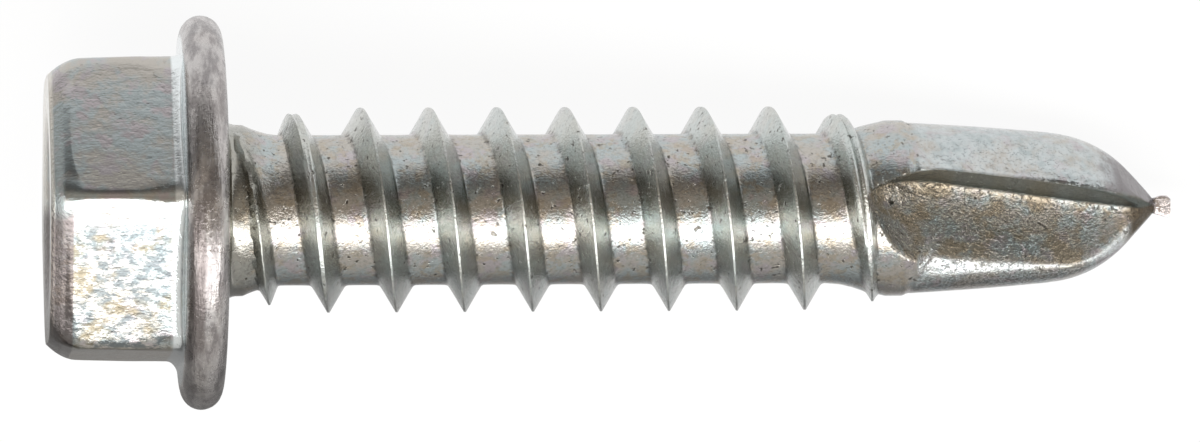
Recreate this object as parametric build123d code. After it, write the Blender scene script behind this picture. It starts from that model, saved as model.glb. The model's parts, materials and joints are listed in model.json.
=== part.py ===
from build123d import *
from math import asin, atan2, ceil, cos, degrees, hypot, pi, radians, sin, tan
import os

os.makedirs("parts", exist_ok=True)

# A hex washer head self drilling screw, forged and rolled from one piece of steel.
# Millimetres and degrees. It is built along +X: x = 0 is the bearing face under the washer,
# the head is on the negative side and the drill point on the positive side. A clock angle
# turns about +X, from 0 at +Y to 90 at +Z. At the end the screw is laid down as it rests.

# washer
washer_diameter = 10.47
washer_thickness = 1.09          # at the rim, whose edge is fully round
washer_slope = 8.0               # head side of the washer, rising towards the hex
washer_offset = 0.066            # the forged washer sits a little off centre, towards -Y
rim_facets = 6                   # short cones that round the rim
under_head_fillet = 0.4

# hex
across_flats = 7.78              # at the washer
hex_draft = 1.45                 # each flat leans in towards the end of the head
head_height = 4.64               # bearing face to end of head
hex_corner_radius = 0.35
hex_end_radius = 0.6
hex_clock = 84.7                 # one corner of the hex
dish_diameter = 5.2              # shallow hollow in the end of the head
dish_depth = 0.3
dish_wall = 0.9                  # width of the sloping wall of the dish

# shank
shank_length = 25.1              # bearing face to the point
neck_diameter = 4.54
neck_length = 0.55
neck_cone_length = 0.75          # from the neck down to the root of the thread

# thread, right hand
thread_pitch = 1.814
major_diameter = 5.43
root_diameter = 3.98
flank_angle = 30.0
crest_flat = 0.05
crest_phase = 0.096              # x of a crest at clock 0
ridge_depth = 0.15               # how deep the ridge is rooted in the core
first_crest_diameter = 4.8       # low crest beside the neck
first_crest_gap = 0.4            # from the bearing face
full_thread_gap = 2.8            # from the bearing face
last_crest_diameter = 4.96       # low crest beside the collar
last_crest_gap = 2.0             # from the start of the low crest to the drill
thread_fade = 1.1                # from a full crest down to the low one, before the collar
points_per_turn = 24

# collar between the thread and the drill
collar_diameter = 4.68
collar_length = 0.55
collar_step = 0.15
collar_cone_length = 1.5         # from the root of the thread up to the collar

# drill point
drill_length = 6.7               # back of the drill to the point
drill_diameter = 4.54            # at the back
drill_taper = 4.26               # each side, towards the point
point_angle = 94.0
shoulder_radius = 2.4            # between the drill's side and its point
shoulder_facets = 3
flute_clock = 109.5              # middle of the first flute
flute_half_angle = 43.5          # from the middle to each edge
flute_middle = 4.8               # from the point back to where the flute's size is taken
flute_foot_across = 0.51         # corner at the foot of the cutting wall
flute_foot_out = 0.456
flute_foot_radius = 0.4
flute_sagitta = 0.18             # hollow of the flute's floor
flute_yaw = 8.0                  # slant of the flute against the axis
flute_back_gap = 1.4             # the flute's scoop starts this far behind the drill
flute_end_radius = 2.3           # of the scoop
nose_flat_clock = 40.0           # middle of the flat behind each cutting lip
nose_flat_depth = 0.07
burr_length = 0.58               # thin flash left at the tip
burr_height = 0.56
burr_thickness = 0.14

# how it lies
floor_clock = 302.0              # the side that faces the floor at rest

# worked out from the sizes above
washer_radius = washer_diameter / 2
rim_radius = washer_thickness / 2
rim_start = washer_radius - rim_radius
washer_rise = rim_start * tan(radians(washer_slope))
neck_radius = neck_diameter / 2
root_radius = root_diameter / 2
major_radius = major_diameter / 2
collar_radius = collar_diameter / 2
drill_radius = drill_diameter / 2
drill_start = shank_length - drill_length
collar_end = drill_start - collar_step
collar_start = collar_end - collar_length
root_end = collar_start - collar_cone_length
low_crest_start = drill_start - last_crest_gap
full_thread_end = low_crest_start - thread_fade
half_point = radians(point_angle / 2)


def along(clock):
    """Unit vector across the screw at a clock angle."""
    return Vector(0, cos(radians(clock)), sin(radians(clock)))


def turned(outline):
    """Solid turned about the X axis from a half section drawn in X and radius."""
    return revolve(make_face(outline), axis=Axis.X)


def between(x, places, values):
    """Value at x on straight lines through the given places, level beyond the ends."""
    for k in range(1, len(places)):
        if x < places[k]:
            share = max(x - places[k - 1], 0) / (places[k] - places[k - 1])
            return values[k - 1] + share * (values[k] - values[k - 1])
    return values[-1]


def rounded(centre, radius, start, end, facets):
    """Points on an arc, from one angle to another, for a rounding made of short cones."""
    angles = [start + (end - start) * k / facets for k in range(facets + 1)]
    return [(centre[0] + radius * cos(a), centre[1] + radius * sin(a)) for a in angles]


def shoulder():
    """Rounding between the tapered side of the drill and the cone of its point."""
    taper = radians(drill_taper)
    cone = tan(half_point)
    slope = tan(taper)
    corner_x = (cone * shank_length - slope * drill_start - drill_radius) / (cone - slope)
    corner_out = (shank_length - corner_x) * cone
    back = shoulder_radius * tan((half_point - taper) / 2)
    centre_x = corner_x - back * cos(taper) - shoulder_radius * sin(taper)
    centre_out = corner_out + back * sin(taper) - shoulder_radius * cos(taper)
    start = pi / 2 - taper
    end = pi / 2 - half_point
    return rounded((centre_x, centre_out), shoulder_radius, start, end, shoulder_facets)


def core():
    """Neck, thread root, collar, drill body and point, turned as one."""
    seat = neck_radius + under_head_fillet
    return turned(Polyline(
        (-rim_radius, 0),
        (-rim_radius, seat),
        *rounded((under_head_fillet, seat), under_head_fillet, pi, 1.5 * pi, 2),
        (neck_length, neck_radius),
        (neck_length + neck_cone_length, root_radius),
        (root_end, root_radius),
        (collar_start, collar_radius),
        (collar_end, collar_radius),
        (drill_start, drill_radius),
        *shoulder(),
        (shank_length, 0),
        close=True))


def crest_radius(x):
    """The crest climbs out of the neck, runs full, drops, and sinks into the collar."""
    first = first_crest_diameter / 2
    last = last_crest_diameter / 2
    places = [0, first_crest_gap, full_thread_gap]
    radii = [neck_radius - ridge_depth, first, major_radius]
    places += [full_thread_end, low_crest_start, collar_start, collar_end]
    radii += [major_radius, last, last, collar_radius - ridge_depth]
    return between(x, places, radii)


def half_width(radius):
    """Half the width of the thread's ridge, along the screw, at a radius."""
    return crest_flat / 2 + (major_radius - radius) * tan(radians(flank_angle))


def thread():
    """Ridge of the thread: a V with a narrow flat crest, wound on a right-hand helix.

    Where the crest is low the V keeps its flanks and gets a wider flat.
    """
    start = crest_phase - thread_pitch / 6
    length = collar_end - start
    pieces = ceil(length / thread_pitch)
    first_clock = 2 * pi * (start - crest_phase) / thread_pitch
    turn = 2 * pi * length / thread_pitch / pieces

    def corner(side, on_crest, clock):
        middle = crest_phase + thread_pitch * clock / (2 * pi)
        crest = crest_radius(middle)
        radius = crest if on_crest else root_radius - ridge_depth
        x = middle + side * half_width(radius)
        return x, radius * cos(clock), radius * sin(clock)

    corners = [(-1, False), (-1, True), (1, True), (1, False)]
    faces = []
    for piece in range(pieces):
        steps = [piece + k / points_per_turn for k in range(points_per_turn + 1)]
        clocks = [first_clock + turn * step for step in steps]
        edges = [Spline(*[corner(*which, clock) for clock in clocks]).edge() for which in corners]
        faces += [Face.make_surface_from_curves(edges[k - 1], edges[k]) for k in range(4)]
    for clock in (first_clock, first_clock + turn * pieces):
        end = Polyline(*[corner(*which, clock) for which in corners], close=True)
        faces.append(make_face(end).face())
    return Solid(Shell(faces))


def washer():
    """Turned disc with a fully round rim and a head side that rises towards the hex."""
    disc = turned(Polyline(
        *rounded((-rim_radius, rim_start), rim_radius, 0, pi, rim_facets),
        (-washer_thickness - washer_rise, 0),
        (0, 0),
        close=True))
    return Pos(Y=-washer_offset) * disc


def hexagon(x):
    """Hexagon across the screw at x, smaller towards the end of the head."""
    lean = 2 * tan(radians(hex_draft))
    flats = across_flats + lean * (x + washer_thickness)
    return Plane.YZ.offset(x) * Rot(Z=hex_clock) * RegularPolygon(flats / 2, 6, major_radius=False)


def hex_block():
    """Drafted hex, rounded at its end and down its corners."""
    block = loft([hexagon(-head_height), hexagon(-rim_radius)], ruled=True)
    block = fillet(block.faces().sort_by(Axis.X)[0].edges(), hex_end_radius)
    lengthwise = block.edges().filter_by(lambda e: abs(e.tangent_at(0.5).X) > 0.9)
    corners = lengthwise.filter_by(lambda e: e.length > hex_end_radius)
    return fillet(corners, hex_corner_radius)


def dish():
    """Cutter for the shallow hollow in the end of the head."""
    half = dish_diameter / 2
    return turned(Polyline(
        (-head_height - dish_depth, 0),
        (-head_height - dish_depth, half + dish_wall),
        (-head_height + dish_depth, half - dish_wall),
        (-head_height + dish_depth, 0),
        close=True))


def flute():
    """Cutter for the first flute: a straight run over the point that scoops out at the back.

    It is drawn with the flute's middle towards +Z and its cutting wall on the +Y side.
    """
    middle = shank_length - flute_middle
    start = drill_start - flute_back_gap + flute_end_radius
    land = drill_radius - (middle - drill_start) * tan(radians(drill_taper))
    half = radians(flute_half_angle)
    foot = (flute_foot_across, flute_foot_out)
    lip = (land * sin(half), land * cos(half))
    heel = (-lip[0], lip[1])
    axis_out = flute_foot_out + flute_end_radius
    roof = 0.99 * axis_out
    wall_slope = (lip[0] - foot[0]) / (lip[1] - foot[1])
    wall_top = (foot[0] + (roof - foot[1]) * wall_slope, roof)
    chord = hypot(foot[0] - heel[0], heel[1] - foot[1])
    fall = atan2(heel[1] - foot[1], foot[0] - heel[0])
    middle_across = (foot[0] + heel[0]) / 2
    middle_out = (foot[1] + heel[1]) / 2
    low = (middle_across - flute_sagitta * sin(fall), middle_out - flute_sagitta * cos(fall))
    rise = fall + 2 * atan2(2 * flute_sagitta, chord)
    heel_top = (heel[0] - (roof - heel[1]) / tan(rise), roof)
    floor = ThreePointArc(foot, low, heel)
    rest = Polyline(heel, heel_top, wall_top, foot)
    section = make_face([floor, rest])
    section = fillet(section.vertices().sort_by_distance((*foot, 0))[0], flute_foot_radius)
    section = Plane.YZ.offset(start) * section
    run = extrude(section, shank_length - start + burr_length + drill_radius, dir=(1, 0, 0))
    scoop = revolve(section, axis=Axis((start, 0, axis_out), (0, 1, 0)), revolution_arc=90)
    slanted = Pos(X=middle) * Rot(Z=-flute_yaw) * Pos(X=-middle) * (run + scoop)
    return Rot(X=flute_clock - 90) * slanted


def burr():
    """Thin flash that the forging dies leave across the tip."""
    root = shank_length - burr_length / 2
    outline = Polyline(
        (root, -0.3 * burr_height),
        (root, 0.3 * burr_height),
        (shank_length, 0.5 * burr_height),
        (shank_length + 0.3 * burr_length, 0.45 * burr_height),
        (shank_length + 0.5 * burr_length, -0.35 * burr_height),
        (shank_length + 0.35 * burr_length, -0.5 * burr_height),
        close=True)
    return Pos(Z=-burr_thickness / 2) * extrude(make_face(outline), burr_thickness)


def nose_flat():
    """Half space past the flat behind the first cutting lip."""
    outward = Vector(sin(half_point), 0, 0) + cos(half_point) * along(nose_flat_clock)
    point = Vector(shank_length, 0, 0)
    size = 2 * drill_length
    face = Plane(origin=point - outward * nose_flat_depth, z_dir=outward)
    return face * Pos(Z=size / 2) * Box(size, size, size)


def lean_at_rest():
    """Angle in degrees by which the point sinks when the screw lies on a flat floor.

    The screw touches the floor with its round rim and with the crest of the thread, and the first
    place on the crest that meets the floor decides.
    """
    rim_drop = rim_start + washer_offset * cos(radians(floor_clock - 180))
    leans = []
    for k in range(ceil((collar_start - crest_phase) / thread_pitch * points_per_turn)):
        middle = crest_phase + thread_pitch * k / points_per_turn
        radius = crest_radius(middle)
        clock = 360 * k / points_per_turn
        along_screw = middle + half_width(radius) + rim_radius
        drop = rim_drop - radius * cos(radians(clock - floor_clock))
        leans.append(atan2(drop, along_screw) + asin(rim_radius / hypot(along_screw, drop)))
    return degrees(min(leans))


screw = core() + (hex_block() + washer()) + thread()
for half_turn in (0, 180):
    screw -= Rot(X=half_turn) * flute()
    screw -= Rot(X=half_turn) * nose_flat()
screw = screw - dish() + burr()

# lay it down, its rim and the crest of the thread on the floor
screw = Rot(Y=lean_at_rest()) * Rot(X=270 - floor_clock) * screw
export_step(screw, "parts/screw.step")
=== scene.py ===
import json
import bpy
import numpy as np
from mathutils import Matrix, Vector


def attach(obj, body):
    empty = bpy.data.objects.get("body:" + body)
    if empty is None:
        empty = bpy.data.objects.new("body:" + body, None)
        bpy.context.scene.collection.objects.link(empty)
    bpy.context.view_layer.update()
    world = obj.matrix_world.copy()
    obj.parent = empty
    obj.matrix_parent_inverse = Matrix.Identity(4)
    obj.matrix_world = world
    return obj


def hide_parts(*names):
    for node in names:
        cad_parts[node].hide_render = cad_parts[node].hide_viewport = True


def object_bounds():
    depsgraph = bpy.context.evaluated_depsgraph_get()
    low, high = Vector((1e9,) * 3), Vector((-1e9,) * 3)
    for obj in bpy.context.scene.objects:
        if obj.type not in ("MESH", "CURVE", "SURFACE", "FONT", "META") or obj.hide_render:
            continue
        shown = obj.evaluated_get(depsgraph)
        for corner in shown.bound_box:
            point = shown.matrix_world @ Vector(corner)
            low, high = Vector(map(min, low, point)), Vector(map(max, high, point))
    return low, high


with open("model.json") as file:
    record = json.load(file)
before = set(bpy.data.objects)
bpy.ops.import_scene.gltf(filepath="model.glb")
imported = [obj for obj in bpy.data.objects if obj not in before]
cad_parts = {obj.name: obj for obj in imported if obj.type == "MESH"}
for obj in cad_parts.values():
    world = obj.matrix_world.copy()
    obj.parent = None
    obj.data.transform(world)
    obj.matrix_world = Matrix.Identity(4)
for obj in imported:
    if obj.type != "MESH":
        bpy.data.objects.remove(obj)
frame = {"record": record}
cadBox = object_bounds()
print("frame loaded")

# Millimetres and degrees in the dictionaries. The screw is shaped about its own axis: station runs
# from 0 at the bearing face to the point, and a clock angle turns about the axis, 0 at +Y, 90 at +Z.
millimetre = 0.001
columns = 168  # vertices round the screw, a multiple of 12
column = np.arange(columns)
nextColumn = (column + 1) % columns

pose = {
    "floorClock": 302.0,  # the side that faces the floor, as in the part
    "downClock": 270.0,   # clock of -Z
}

bearingFace = next(m for m in frame["record"]["mounts"] if m["name"] == "bearing_face")
lean = np.arctan2(-bearingFace["axis"][2], bearingFace["axis"][0])
roll = np.radians(pose["downClock"] - pose["floorClock"])


# turn that lays the screw down: a roll about X that brings the floor's clock to -Z, then the lean
# about Y that the bearing face's axis has
def lyingTurn():
    return Matrix.Rotation(lean, 3, "Y") @ Matrix.Rotation(roll, 3, "X")


# S curve from 0 at low to 1 at high: t squared times (3 - 2 t), t the share of the way, held in 0 to 1
def smoothStep(value, low, high):
    t = np.clip((value - low) / (high - low), 0, 1)
    return t * t * (3 - 2 * t)


# a, plus a share of the step from a to b
def mix(a, b, share):
    return a + (b - a) * share


# the larger of two values, soft where they cross: half of their sum and of the root of their
# difference squared plus the rounding squared
def softMax(a, b, rounding):
    return (a + b + np.sqrt((a - b) ** 2 + rounding ** 2)) / 2


# the smaller of two values, less up to a quarter of the rounding where they are closer than it
def blendMin(a, b, rounding):
    share = np.clip(0.5 + (a - b) / (2 * rounding), 0, 1)
    return mix(a, b, share) - rounding * share * (1 - share)


# even steps from 0 to the whole, without the 0, one to a row
def evenSteps(count, whole=1):
    return np.linspace(0, whole, count + 1)[1:, None]


# where each vertex of a ring stands, for the thread, the hex and the drill
columnClocks = {
    "first": 0.214,         # clock of column 0
    "hexCornerColumn": 11,  # column on the hex corner just below +Y
    "cornerSpacing": 16.8,  # degrees per sixth of a ring at a corner, few for fine steps there
    "lipColumn": 29,        # column on the lip of the first flute
    "fluteColumns": 44,     # from the lip to the heel of a flute
}

evenClock = np.radians(columnClocks["first"] + 360 * column / columns)

head = {
    "washerDiameter": 10.44,
    "washerThickness": 1.09,
    "washerSlope": 8.0,
    "washerOffset": 0.055,   # towards -Y
    "hexOffset": -0.03,
    "underHeadFillet": 0.4,
    "acrossFlats": 7.81,
    "hexDraft": 1.45,
    "height": 4.615,
    "cornerClock": 24.7,
    "cornerRadius": 0.35,
    "cornerRadiusEnd": 1.1,  # rounder towards the end and the washer
    "cornerRadiusFoot": 0.75,
    "endChange": 1.0,        # length over which the radius changes at the end
    "footChange": 0.8,       # and towards the washer, up to the foot
    "footLength": 0.5,
    "endChamfer": 0.3,       # across the end of the hex at a flat
    "endChamferCorner": 0.46,
    "cornerSpread": 11.0,    # degrees over which a corner's wider chamfer fades
    "endCrease": 38.0,       # angle left between the end face and the chamfer
    "endEdge": 54.0,         # where its arc stops at a flat's edge, 90 is tangent
    "arcFlat": 0.52,         # the arc along the screw at the middle of a flat
    "arcCorner": 0.80,       # and at a corner
    "footFillet": 0.3,
    "footPastRim": 0.05,     # how far the fillet may run past the rim's start
    "dishDiameter": 5.2,
    "dishDepth": 0.3,
    "dishWall": 0.9,         # width of its sloping wall inside the diameter
    "dishLip": 0.15,         # and outside it
}

headMesh = {
    "endRings": [0.2, 0.8, 1.3, 1.6, 1.8, 2.0, 2.2, 2.4, 2.6, 2.75],  # radii on the end face
    "endRows": 3,           # from the last of these rings to the chamfer
    "chamferRows": 10,
    "sideRows": 9,
    "firstSideRow": 0.012,  # share of the side, close to the chamfer to keep its edge
    "footRows": 7,
    "washerRows": 4,
    "rimRows": 19,
    "seatRows": 6,
}

rimRadius = head["washerThickness"] / 2
rimStart = head["washerDiameter"] / 2 - rimRadius


# clock of each column on the head: corner + a t + b t^3, t from -0.5 to 0.5 between the middles of
# two flats, b so that a middle is 30 degrees from the corner
def headClocks():
    c = columnClocks
    turn = (column - c["hexCornerColumn"]) / (columns / 6)
    corner = np.round(turn)
    t = turn - corner
    cubic = (30 - c["cornerSpacing"] / 2) / 0.5 ** 3
    return np.radians(head["cornerClock"] + 60 * corner + c["cornerSpacing"] * t + cubic * t ** 3)


# angle from the nearest corner of the hex: the clock's remainder over 60 degrees, from -30 to 30
def angleFromCorner(clock):
    sixth = np.radians(60)
    return (clock - np.radians(head["cornerClock"]) + sixth / 2) % sixth - sixth / 2


# hexagon of an apothem with round corners: apothem / cos(angle from the flat's middle), and near a
# corner the far side of a circle that touches both flats
def hexRadius(clock, apothem, cornerRadius):
    sixth = np.radians(60)
    fromCorner = angleFromCorner(clock)
    flat = apothem / np.cos(sixth / 2 - np.abs(fromCorner))
    centre = (apothem - cornerRadius) / np.cos(sixth / 2)
    under = np.maximum(cornerRadius ** 2 - (centre * np.sin(fromCorner)) ** 2, 0)
    arc = centre * np.cos(fromCorner) + np.sqrt(under)
    reach = np.arctan2(cornerRadius / 2, centre + cornerRadius * np.cos(sixth / 2))
    return np.where(np.abs(fromCorner) < reach, arc, flat)


# apothem = half the flats at the washer, less the draft towards the end
def hexApothem(station):
    beyond = station + head["washerThickness"]
    return head["acrossFlats"] / 2 + np.tan(np.radians(head["hexDraft"])) * beyond


# radius of the hex's corners: a mix along the station, larger near the end and near the washer
def hexCornerRadius(station):
    end = -head["height"]
    foot = -head["washerThickness"] - head["footLength"]
    nearEnd = 1 - smoothStep(station, end, end + head["endChange"])
    nearFoot = smoothStep(station, foot - head["footChange"], foot)
    wide = mix(head["cornerRadius"], head["cornerRadiusEnd"], nearEnd)
    return mix(wide, head["cornerRadiusFoot"], nearFoot)


# head side of the washer: a cone that rises from the rim towards the hex by the slope's tangent
def washerTop(radius):
    rise = np.maximum(rimStart - radius, 0) * np.tan(np.radians(head["washerSlope"]))
    return -head["washerThickness"] - rise


# rows from the middle of the end face, over the hex and washer, to the foot of the under-head fillet:
# the dish's S curve, the chamfer's arc by its angle, the drafted side, the foot's quarter circle, the
# washer's cone, the rim's half circle and the flat seat. Returns station, radius and offset towards -Y
def headRows():
    h, m = head, headMesh
    clock = headClocks()[None, :]
    end = -h["height"]
    cornerShare = np.exp(-(np.degrees(angleFromCorner(clock)) / h["cornerSpread"]) ** 2)
    chamfer = mix(h["endChamfer"], h["endChamferCorner"], cornerShare)
    insetHex = hexRadius(clock, hexApothem(end), h["cornerRadiusEnd"]) - chamfer
    ones = np.ones_like(clock)
    parts = []

    def add(station, radius, offset):
        parts.append((station, radius, offset + 0 * radius))

    dishHalf = h["dishDiameter"] / 2
    circle = np.array(m["endRings"])[:, None] * ones
    toHex = mix(m["endRings"][-1], insetHex, evenSteps(m["endRows"]))
    radius = np.vstack([circle, toHex])
    wall = smoothStep(radius, dishHalf - h["dishWall"], dishHalf + h["dishLip"])
    add(end + h["dishDepth"] * (1 - wall), radius, h["hexOffset"])

    roundingLength = mix(h["arcFlat"], h["arcCorner"], cornerShare)
    crease = np.radians(h["endCrease"])
    last = np.radians(mix(h["endEdge"], 90, cornerShare))
    angle = mix(crease, last, evenSteps(m["chamferRows"]))
    station = end + roundingLength * (np.cos(crease) - np.cos(angle)) / (np.cos(crease) - np.cos(last))
    inset = chamfer * (np.sin(last) - np.sin(angle)) / (np.sin(last) - np.sin(crease))
    radius = hexRadius(clock, hexApothem(station), hexCornerRadius(station)) - inset
    add(station, radius, h["hexOffset"])

    footRadius = hexRadius(clock, hexApothem(-h["washerThickness"]), h["cornerRadiusFoot"])
    footEnd = np.minimum(footRadius + h["footFillet"], rimStart + h["footPastRim"])
    footStation = washerTop(footEnd) - h["footFillet"]
    share = np.vstack([[[m["firstSideRow"]]], evenSteps(m["sideRows"])])
    station = mix(end + roundingLength, footStation, share)
    radius = hexRadius(clock, hexApothem(station), hexCornerRadius(station))
    add(station, radius, h["hexOffset"])

    angle = np.radians(evenSteps(m["footRows"], 90))
    station = footStation + h["footFillet"] * np.sin(angle)
    radius = radius[-1:] + (footEnd - radius[-1:]) * (1 - np.cos(angle))
    settle = smoothStep(angle / np.radians(90), 0, 1) * ones
    add(station, radius, mix(h["hexOffset"], h["washerOffset"], settle))

    share = evenSteps(m["washerRows"])[:-1]
    radius = mix(footEnd, np.maximum(rimStart, footEnd), share)
    add(washerTop(radius), radius, h["washerOffset"])

    angle = np.radians(np.linspace(180, 0, m["rimRows"])[:, None])
    station = -rimRadius + rimRadius * np.cos(angle) * ones
    radius = rimStart + rimRadius * np.sin(angle) * ones
    add(station, radius, h["washerOffset"])

    seat = shank["neckDiameter"] / 2 + h["underHeadFillet"]
    radius = mix(rimStart, seat, evenSteps(m["seatRows"])) * ones
    add(0 * radius, radius, h["washerOffset"] * smoothStep(radius, seat, rimStart))

    return [np.vstack(layers) for layers in zip(*parts)]


shank = {
    "length": 25.1,       # bearing face to the point
    "neckDiameter": 4.54,
    "rootDiameter": 3.98,
    "collarDiameter": 4.68,
    "neckEnd": 0.55,      # stations where the neck, root and collar end and start
    "rootStart": 1.5,
    "rootEnd": 16.1,
    "collarStart": 17.7,
    "collarEnd": 18.14,
    "stepEnd": 18.27,
    "neckToRoot": [(0.8, 2.16), (1.0, 2.09), (1.22, 2.03)],       # station and radius
    "rootToCollar": [(16.5, 2.03), (16.8, 2.10), (17.1, 2.20)],
    "drillStart": 18.4,
    "drillDiameter": 4.54,
    "drillTaper": 4.26,
    "drillSwell": 0.025,  # the side of the drill bulges a little
    "swellLength": 4.2,
    "pointAngle": 94.0,
    "shoulderRadius": 3.2,
    "tipOffset": 0.035,   # the tip stands off the axis, towards +Y
    "tipOffsetFrom": (22.5, 25),
}


# drill side and point: a taper with half a sine wave on it, an arc that touches it, and a cone
def drillRadius(station):
    s = shank
    taper = np.radians(s["drillTaper"])
    cone = np.radians(s["pointAngle"] / 2)
    start = s["drillStart"]
    arc = s["shoulderRadius"]
    side = s["drillDiameter"] / 2 - (station - start) * np.tan(taper)
    along = np.clip((station - start) / s["swellLength"], 0, 1)
    side = side + s["drillSwell"] * np.sin(np.pi * along)
    tip = (s["length"] - station) * np.tan(cone)
    gap = np.tan(cone) * s["length"] - np.tan(taper) * start - s["drillDiameter"] / 2
    corner = gap / (np.tan(cone) - np.tan(taper))
    cornerOut = (s["length"] - corner) * np.tan(cone)
    back = arc * np.tan((cone - taper) / 2)
    centre = corner - back * np.cos(taper) - arc * np.sin(taper)
    centreOut = cornerOut + back * np.sin(taper) - arc * np.cos(taper)
    rounded = centreOut + np.sqrt(np.maximum(arc ** 2 - (station - centre) ** 2, 0))
    onArc = (station > centre + arc * np.sin(taper)) & (station < centre + arc * np.sin(cone))
    return np.where(onArc, rounded, np.maximum(np.minimum(side, tip), 0))


# radius of the shank without its thread: straight between the profile's points, plus the quarter
# circle under the head, and the drill from its start on
def coreRadius(station):
    s = shank
    neck, root, collar = s["neckDiameter"] / 2, s["rootDiameter"] / 2, s["collarDiameter"] / 2
    profile = [(s["neckEnd"], neck), *s["neckToRoot"], (s["rootStart"], root), (s["rootEnd"], root),
               *s["rootToCollar"], (s["collarStart"], collar), (s["collarEnd"], collar),
               (s["stepEnd"], s["drillDiameter"] / 2)]
    level = np.interp(station, *zip(*profile))
    fillet = head["underHeadFillet"]
    across = np.clip(fillet - station, 0, fillet)
    arc = fillet - np.sqrt(fillet ** 2 - across ** 2)
    return np.where(station > s["drillStart"], drillRadius(station), level + arc)


thread = {
    "majorDiameter": 5.43,
    "pitch": 1.814,
    "crestPhase": 0.096,       # station of a crest at clock 0
    "crestWobble": 0.025,      # early at clock 0, late at clock 180
    "firstTurnLate": 0.26,     # how late the crest runs in the first turn
    "lateFrom": (0.1, 0.6),
    "lateTo": (0.9, 1.9),
    "crestFlat": 0.05,
    "flankAngle": 30.0,
    "footRounding": 0.07,
    "runIn": [(0, 2.12), (0.4, 2.39), (1.1, 2.50), (1.9, 2.56)],  # station and radius of the crest
    "fullFrom": 2.8,
    "fullTo": 15.3,
    "runOut": [(15.6, 2.70), (16.3, 2.51), (17.3, 2.50), (17.6, 2.40), (18.0, 2.2)],
    # near both ends the V is as sharp as a full crest but lower, between them a low crest is cut flat
    "sharpTo": (1.35, 1.75),
    "sharpFrom": (16.85, 17.15),
    "lowReach": (2.5, 2.68),   # a crest is low below these radii
    "foldFrom": (1.2, 1.7),    # groove that splits a low crest
    "foldWidth": 0.045,
    "foldDepth": 0.07,
    "risesFrom": (0.05, 0.4),  # height over the core where the foot's rounding comes in
    "footMark": 0.06,          # widths of the marks for the material
    "crestMark": 0.09,
    "end": 18.3,
}

threadMesh = {
    "start": 0.16,
    "end": 18.42,
    "fade": 0.55,    # length over which rings turn into the helix
    "hexFade": 1.2,  # and the hex's clocks into even ones
    "crestRows": [0, 0.025, 0.05, 0.1, 0.17, 0.25, 0.31, 0.345, 0.38, 0.415, 0.45, 0.49, 0.54],
    "rootRows": 11,
}


# radius that the thread's crest reaches along the shank: straight between the points of its profile
def crestRadius(station):
    full = thread["majorDiameter"] / 2
    profile = [*thread["runIn"], (thread["fullFrom"], full), (thread["fullTo"], full), *thread["runOut"]]
    return np.interp(station, *zip(*profile))


# how late a crest runs at a station: the product of an S curve up and one down, in the first turn
def lateness(station):
    rise = smoothStep(station, *thread["lateFrom"])
    return thread["firstTurnLate"] * rise * (1 - smoothStep(station, *thread["lateTo"]))


# V of the thread at a distance from its crest: top - (distance - half the crest) / tan(flank angle),
# held under the crest's reach, less a narrow bell for the fold, and a soft larger of that and the
# core. Returns the radius, and marks of the V's foot, crest and flank for the material
def threadRadius(station, clock):
    t = thread
    wobble = -t["crestWobble"] * np.cos(clock)
    wobble = wobble + lateness(station - lateness(station - lateness(station)))  # late where it started
    turns = (station - t["crestPhase"] - wobble) / t["pitch"] - clock / (2 * np.pi)
    across = (turns - np.round(turns)) * t["pitch"]
    middle = station - across
    reach = crestRadius(middle)
    core = coreRadius(station)
    rise = reach - core
    slope = np.tan(np.radians(t["flankAngle"]))

    sharp = 1 - smoothStep(middle, *t["sharpTo"]) + smoothStep(middle, *t["sharpFrom"])
    top = mix(t["majorDiameter"] / 2, reach, sharp)
    flank = top - (np.abs(across) - t["crestFlat"] / 2) / slope
    low = 1 - smoothStep(reach, *t["lowReach"])
    low = low * smoothStep(middle, *t["foldFrom"]) * (1 - smoothStep(middle, *t["sharpFrom"]))
    fold = t["foldDepth"] * low * np.exp(-(across / t["foldWidth"]) ** 2)
    ridge = np.minimum(flank, reach) - fold
    rounding = t["footRounding"] * smoothStep(rise, *t["risesFrom"])

    footGap = t["crestFlat"] / 2 + (top - core) * slope
    fromFoot = (np.abs(across) - footGap) / t["footMark"]
    marks = {
        "foot": np.exp(-fromFoot ** 2) * smoothStep(rise, 0.1, 0.4),
        "crest": np.exp(-(across / t["crestMark"]) ** 2) * smoothStep(rise, 0.1, 0.3),
        "flank": smoothStep(ridge - core, 0.0, 0.1),
    }
    return np.where(station < t["end"], softMax(ridge, core, rounding), core), marks


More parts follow.
